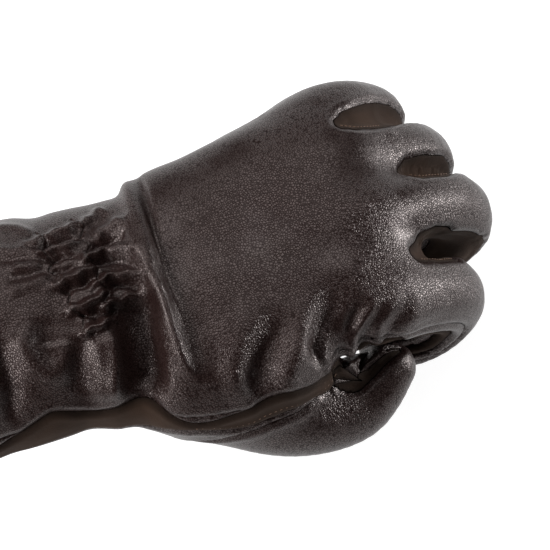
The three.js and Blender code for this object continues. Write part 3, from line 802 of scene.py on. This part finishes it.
def slitRim(name):
    # the brown piece's edge on a slit's side by the thumb: its highest place at every station, evened out
    web = slits[name]
    points, triangles, data = panels[f"fourchette_{name}_{web['beside']}"]
    rim = points[np.unique(rimEdges(triangles))]
    line = np.array(web["slit"], float)
    heading = unit(line[-1, :2] - line[0, :2])
    sideways = np.array([-heading[1], heading[0]])
    along = (rim[:, :2] - line[0, :2]) @ heading
    bow = np.interp(along, (line[:, :2] - line[0, :2]) @ heading, (line[:, :2] - line[0, :2]) @ sideways)
    across = (rim[:, :2] - line[0, :2]) @ sideways - bow
    row = []
    for station in np.arange(1.0, rimRow["length"], rimRow["station"]):
        near = (np.abs(along - station) < rimRow["near"]) & (across < 0)
        if near.any():
            row.append(rim[near][rim[near][:, 2].argmax()])
    row = np.array(row)
    for _ in range(3):
        row[1:-1] = (row[:-2] + 2 * row[1:-1] + row[2:]) / 4
    row[:, :2] += rimRow["aside"] * sideways
    return row[row[:, 2] > rimRow["lowest"]]


def sectionLine(x, degrees):
    # places round the hand's section at the given degrees
    z, ulnar, radial, up, down, power = [alongTable(handRows, k, x) for k in range(1, 7)]
    c, s = np.cos(np.radians(degrees)), np.sin(np.radians(degrees))
    across, rise = signedPower(c, 2 / power), signedPower(s, 2 / power)
    y = (ulnar + radial) / 2 + (ulnar - radial) / 2 * across
    return np.stack([x, y, z + np.where(rise > 0, up, down) * rise], 1)


def resample(line, pitch):
    # places along a line, one at every pitch of its length
    along = lengthAlong(line)
    return between(np.arange(pitch / 2, along[-1], pitch), along, line)


# a stitch's rings: share of its length, and width and height in the thread's thickness
threadRings = [(0, 0.55, -0.35), (0.2, 0.9, 0.25), (0.5, 1, 0.5), (0.8, 0.9, 0.25), (1, 0.55, -0.35)]


def stitchMesh(starts, ends, normals, thick):
    # each stitch a six-sided thread that rises out of the leather and dips back in: five rings and two tips
    heading = unit(ends - starts)
    side = unit(np.cross(heading, normals))
    rings = []
    turns = np.radians(np.arange(6) * 60)
    for share, bulge, lift in threadRings:
        middle = starts + share * (ends - starts) + normals * (lift * thick)
        ring = (middle[:, None] + bulge * thick * (np.cos(turns)[None, :, None] * side[:, None]
                                                   + np.sin(turns)[None, :, None] * normals[:, None]))
        rings.append(ring)
    rings = np.stack(rings, 1).reshape(len(starts), 30, 3)
    one = []
    for r in range(4):
        for k in range(6):
            a, b = r * 6 + k, r * 6 + (k + 1) % 6
            one += [(a, b, b + 6), (a, b + 6, a + 6)]
    one += [(0, k + 1, k) for k in range(1, 5)] + [(24, 24 + k, 25 + k) for k in range(1, 5)]
    one = np.array(one)
    faces = (one[None] + 30 * np.arange(len(starts))[:, None, None]).reshape(-1, 3)
    return rings.reshape(-1, 3), faces


print("glove: stitches")
stripX = np.linspace(16, 61, 200)
stripEdge = 180 + alongTable(sideSeam, 2, stripX) - 4.5
thumbFront = np.array([(62, -42, -12), (63.1, -43.5, -13.4), (65.5, -48, -16.5),
                       (67.6, -51.6, -19.5)], float)
# rows of stitches: thread, length of a stitch, pitch and thickness in millimetres, and the row's line
stitchRows = {
    "side_strip_lower": ("brown", 1.1, 1.75, 0.17, sectionLine(stripX, stripEdge)),
    "thumb_front": ("dark", 1.2, 1.9, 0.2, thumbFront),
}
for name in slits:
    stitchRows[f"rim_{name}"] = ("brown", 0.8, 1.4, 0.12, slitRim(name))
for number, row in enumerate(gatherRows):
    line = np.column_stack([np.array(row, float), np.full(len(row), 22.0)])
    stitchRows[f"gather_{number}"] = ("dark", 1.0, 1.4, 0.13, line)

threads = {"brown": ([], []), "dark": ([], [])}
for name, (thread, long, pitch, thick, line) in stitchRows.items():
    places, out = onSkin(resample(line, pitch))
    heading = unit(np.gradient(places, axis=0))
    starts, ends = places - heading * long / 2, places + heading * long / 2
    corners, faces = stitchMesh(starts, ends, out, thick)
    count = sum(len(c) for c in threads[thread][0])
    threads[thread][0].append(corners)
    threads[thread][1].append(faces + count)
stitches = {}
for thread, (corners, faces) in threads.items():
    piece = placeMesh(thread + "_stitches", np.vstack(corners), np.vstack(faces))
    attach(piece, "root")
    stitches[thread] = piece

leatherPieces = ("back_panel", "palm_panel", "thumb_panel")


def newMaterial(name):
    # an empty node material with its output, its shader and the object's coordinates
    material = bpy.data.materials.new(name)
    material.use_nodes = True
    nodes, links = material.node_tree.nodes, material.node_tree.links
    nodes.clear()
    output = nodes.new("ShaderNodeOutputMaterial")
    shader = nodes.new("ShaderNodeBsdfPrincipled")
    place = nodes.new("ShaderNodeTexCoord")
    links.new(shader.outputs[0], output.inputs[0])
    return material, nodes, links, shader, place.outputs["Object"]


def setInputs(node, values):
    # each named input of the node takes its value
    for name, value in values.items():
        node.inputs[name].default_value = value


def addNoise(nodes, links, place, scale, detail):
    # noise at the place, as fine as the scale and in as many layers as the detail
    noise = nodes.new("ShaderNodeTexNoise")
    setInputs(noise, {"Scale": scale, "Detail": detail})
    links.new(place, noise.inputs["Vector"])
    return noise


def addRange(nodes, links, source, before, after):
    # source spread from the range before over the range after
    spread = nodes.new("ShaderNodeMapRange")
    setInputs(spread, {"From Min": before[0], "From Max": before[1], "To Min": after[0], "To Max": after[1]})
    links.new(source, spread.inputs["Value"])
    return spread


def addTone(nodes, links, shader, patches, paintedShade, look):
    # base colour: the dark tone mixed with the light one by patches times the factor, a painted shade that
    # darkens the tone
    shade = nodes.new("ShaderNodeMath")
    shade.operation = "MULTIPLY"
    links.new(patches, shade.inputs[0])
    links.new(paintedShade, shade.inputs[1])
    colours = nodes.new("ShaderNodeMix")
    colours.data_type = "RGBA"
    setInputs(colours, {"A": (*look["dark"], 1), "B": (*look["light"], 1)})
    links.new(shade.outputs[0], colours.inputs["Factor"])
    links.new(colours.outputs["Result"], shader.inputs["Base Color"])


def addBump(nodes, links, shader, height, distance):
    # the shader's normal, tilted by the height times the distance in metres
    bump = nodes.new("ShaderNodeBump")
    bump.inputs["Distance"].default_value = distance
    links.new(height, bump.inputs["Height"])
    links.new(bump.outputs[0], shader.inputs["Normal"])
    return bump


leatherLook = {
    "dark": (0.0085, 0.0041, 0.0036),
    "light": (0.026, 0.0126, 0.0109),
    "grain": 1350.0,          # pebbles per metre
    "warp": (420.0, 0.0004),  # noise that bends their edges: how fine, and how far in metres
    "crease": 0.27,           # width of a crease, in pebbles
    "fine": (2600.0, 0.12),   # roughness of the pebbles themselves: how fine, and share of the height
    "deep": 0.00007,          # height of the pebbles in metres
    "patches": 55.0,          # how fine the change of tone is
    "rough": (0.30, 0.39),
    "gloss": (0.14, 0.57),    # between the pebbles and on them
    "raised": (0.05, 0.75),   # pebble heights that these two belong to
    "bump": (0.35, 1.0),      # where the leather is stretched smooth and where it isn't
    "stretch": (0.36, 0.54),  # patch tones that these two belong to
}
suedeLook = {
    "dark": (0.0090, 0.0050, 0.0033),
    "light": (0.031, 0.0172, 0.0110),
    "nap": (1500.0, 0.0002),  # how fine the nap is, and its height in metres
    "patches": 90.0,
    "edge": (2.6, 0.1, 1.15),  # width of the painted shade beside a seam in millimetres, and the tone's share there and beyond
}


def leatherMaterial():
    # pebbles from the distance to a Voronoi edge, bent by noise: they raise the bump and the gloss, and
    # their creases darken the tone as painted shade
    look = leatherLook
    material, nodes, links, shader, place = newMaterial("dark_faux_leather")
    shader.inputs["Specular Tint"].default_value = (1.0, 0.86, 0.83, 1)
    warp = addNoise(nodes, links, place, look["warp"][0], 3)
    shift = nodes.new("ShaderNodeVectorMath")
    shift.operation = "MULTIPLY_ADD"
    shift.inputs[1].default_value = [look["warp"][1]] * 3
    links.new(warp.outputs["Color"], shift.inputs[0])
    links.new(place, shift.inputs[2])
    cells = nodes.new("ShaderNodeTexVoronoi")
    cells.feature = "DISTANCE_TO_EDGE"
    cells.inputs["Scale"].default_value = look["grain"]
    links.new(shift.outputs[0], cells.inputs["Vector"])
    pebble = addRange(nodes, links, cells.outputs["Distance"], (0, look["crease"]), (0, 1))
    pebble.interpolation_type = "SMOOTHSTEP"
    gloss = addRange(nodes, links, pebble.outputs[0], look["raised"], look["gloss"])
    links.new(gloss.outputs[0], shader.inputs["Specular IOR Level"])
    fine = addNoise(nodes, links, place, look["fine"][0], 2)
    height = nodes.new("ShaderNodeMath")
    height.operation = "MULTIPLY_ADD"
    height.inputs[1].default_value = look["fine"][1]
    links.new(fine.outputs["Fac"], height.inputs[0])
    links.new(pebble.outputs[0], height.inputs[2])
    bump = addBump(nodes, links, shader, height.outputs[0], look["deep"])
    patches = addNoise(nodes, links, place, look["patches"], 5)
    relief = addRange(nodes, links, patches.outputs["Fac"], look["stretch"], look["bump"])
    links.new(relief.outputs[0], bump.inputs["Strength"])
    # painted shade: the creases between the pebbles darken the base colour
    addTone(nodes, links, shader, patches.outputs["Fac"], pebble.outputs[0], look)
    rough = addRange(nodes, links, patches.outputs["Fac"], (0, 1), look["rough"])
    links.new(rough.outputs[0], shader.inputs["Roughness"])
    return material


def suedeMaterial():
    # a dull nap: fine noise in the bump, and a tone from coarse noise times a painted shade that darkens it
    # near the seams and lightens it a little away from them
    look = suedeLook
    material, nodes, links, shader, place = newMaterial("brown_microsuede")
    nap = addNoise(nodes, links, place, look["nap"][0], 4)
    patches = addNoise(nodes, links, place, look["patches"], 4)
    seam = nodes.new("ShaderNodeAttribute")
    seam.attribute_name = "seam"
    # painted shade: the suede darker within a few millimetres of a seam, where the leather's edge overhangs
    # it, and a little lighter beyond
    beside = addRange(nodes, links, seam.outputs["Fac"], (0, look["edge"][0]), look["edge"][1:])
    addTone(nodes, links, shader, patches.outputs["Fac"], beside.outputs[0], look)
    setInputs(shader, {"Roughness": 0.9, "Specular IOR Level": 0.12, "Sheen Weight": 0.06,
                       "Sheen Tint": (0.5, 0.36, 0.28, 1)})
    bump = addBump(nodes, links, shader, nap.outputs["Fac"], look["nap"][1])
    bump.inputs["Strength"].default_value = 0.5
    return material


print("glove: finishes")
leather, suede = leatherMaterial(), suedeMaterial()
for name, piece in skins.items():
    isLeather = name in leatherPieces
    piece.data.materials.append(leather if isLeather else suede)

threadColours = {"brown": (0.13, 0.066, 0.036, 1), "dark": (0.020, 0.012, 0.009, 1)}
for thread, piece in stitches.items():
    material, nodes, links, shader, place = newMaterial(thread + "_thread")
    setInputs(shader, {"Base Color": threadColours[thread], "Roughness": 0.6})
    twist = addNoise(nodes, links, place, 4000, 2)
    addBump(nodes, links, shader, twist.outputs["Fac"], 0.00005)
    piece.data.materials.append(material)

print("studio: camera, floor and light")
studio = {
    "elevation": 65.0,       # degrees that the camera looks down
    "turned": 16.5,          # degrees that it stands towards the cuff
    "width": 165.0,          # millimetres across the picture at the glove
    "distance": 1500.0,
    "aim": (52.5, 9.9),      # picture's middle, right of and above the wrist's middle
    "floor": -72.0,
}


def viewAxes():
    # right, up and towards the camera, from its turn and elevation
    a, e = math.radians(studio["turned"]), math.radians(studio["elevation"])
    right = np.array([math.cos(a), -math.sin(a), 0])
    toward = np.array([-math.sin(a) * math.cos(e), -math.cos(a) * math.cos(e), math.sin(e)])
    return right, np.cross(toward, right), toward


right, upward, toward = viewAxes()
aim = right * studio["aim"][0] + upward * studio["aim"][1]
cameraData = bpy.data.cameras.new("camera")
cameraData.lens = 36 * studio["distance"] / studio["width"]
camera = bpy.data.objects.new("camera", cameraData)
camera.location = Vector(((aim + toward * studio["distance"]) * mm).tolist())
camera.rotation_euler = Vector((-toward).tolist()).to_track_quat("-Z", "Y").to_euler()
cameraData.clip_start, cameraData.clip_end = 0.05, 20
bpy.context.collection.objects.link(camera)
bpy.context.scene.camera = camera

floorSize, floorHeight = 2.4, studio["floor"] * mm
floorCorners = [(x * floorSize, y * floorSize, floorHeight) for x, y in ((-1, -1), (1, -1), (1, 1), (-1, 1))]
floorMesh = bpy.data.meshes.new("floor")
floorMesh.from_pydata(floorCorners, [], [(0, 1, 2, 3)])
floor = bpy.data.objects.new("floor", floorMesh)
bpy.context.collection.objects.link(floor)
floorMaterial, nodes, links, shader, place = newMaterial("pale_floor")
setInputs(shader, {"Base Color": (0.42, 0.42, 0.42, 1), "Roughness": 0.8,
                   "Emission Color": (1, 1, 1, 1), "Emission Strength": 0.8})
floorMesh.materials.append(floorMaterial)


def softBox(name, place, target, width, height, power):
    # a square-cornered lamp at its place, in metres, that looks at the target
    light = bpy.data.lights.new(name, "AREA")
    light.shape = "RECTANGLE"
    light.size, light.size_y, light.energy = width, height, power
    lamp = bpy.data.objects.new(name, light)
    lamp.location = place
    lamp.rotation_euler = (Vector(target) - Vector(place)).to_track_quat("-Z", "Y").to_euler()
    bpy.context.collection.objects.link(lamp)


# each lamp's place, width and height in metres, and its power in watts
lamps = {
    "light_above": ((0.20, 0.62, 0.98), 1.4, 0.9, 11),
    "light_left": ((-0.78, 0.02, 0.50), 1.2, 0.32, 17),
    "light_right": ((0.97, 0.02, 0.04), 0.30, 0.16, 8),
}
for name, (place, width, height, power) in lamps.items():
    softBox(name, place, (0.04, 0.0, 0.0), width, height, power)
world = bpy.data.worlds.new("studio")
world.use_nodes = True
world.node_tree.nodes["Background"].inputs[0].default_value = (1, 1, 1, 1)
world.node_tree.nodes["Background"].inputs[1].default_value = 0.07
bpy.context.scene.world = world
bpy.context.scene.view_settings.view_transform = "Standard"
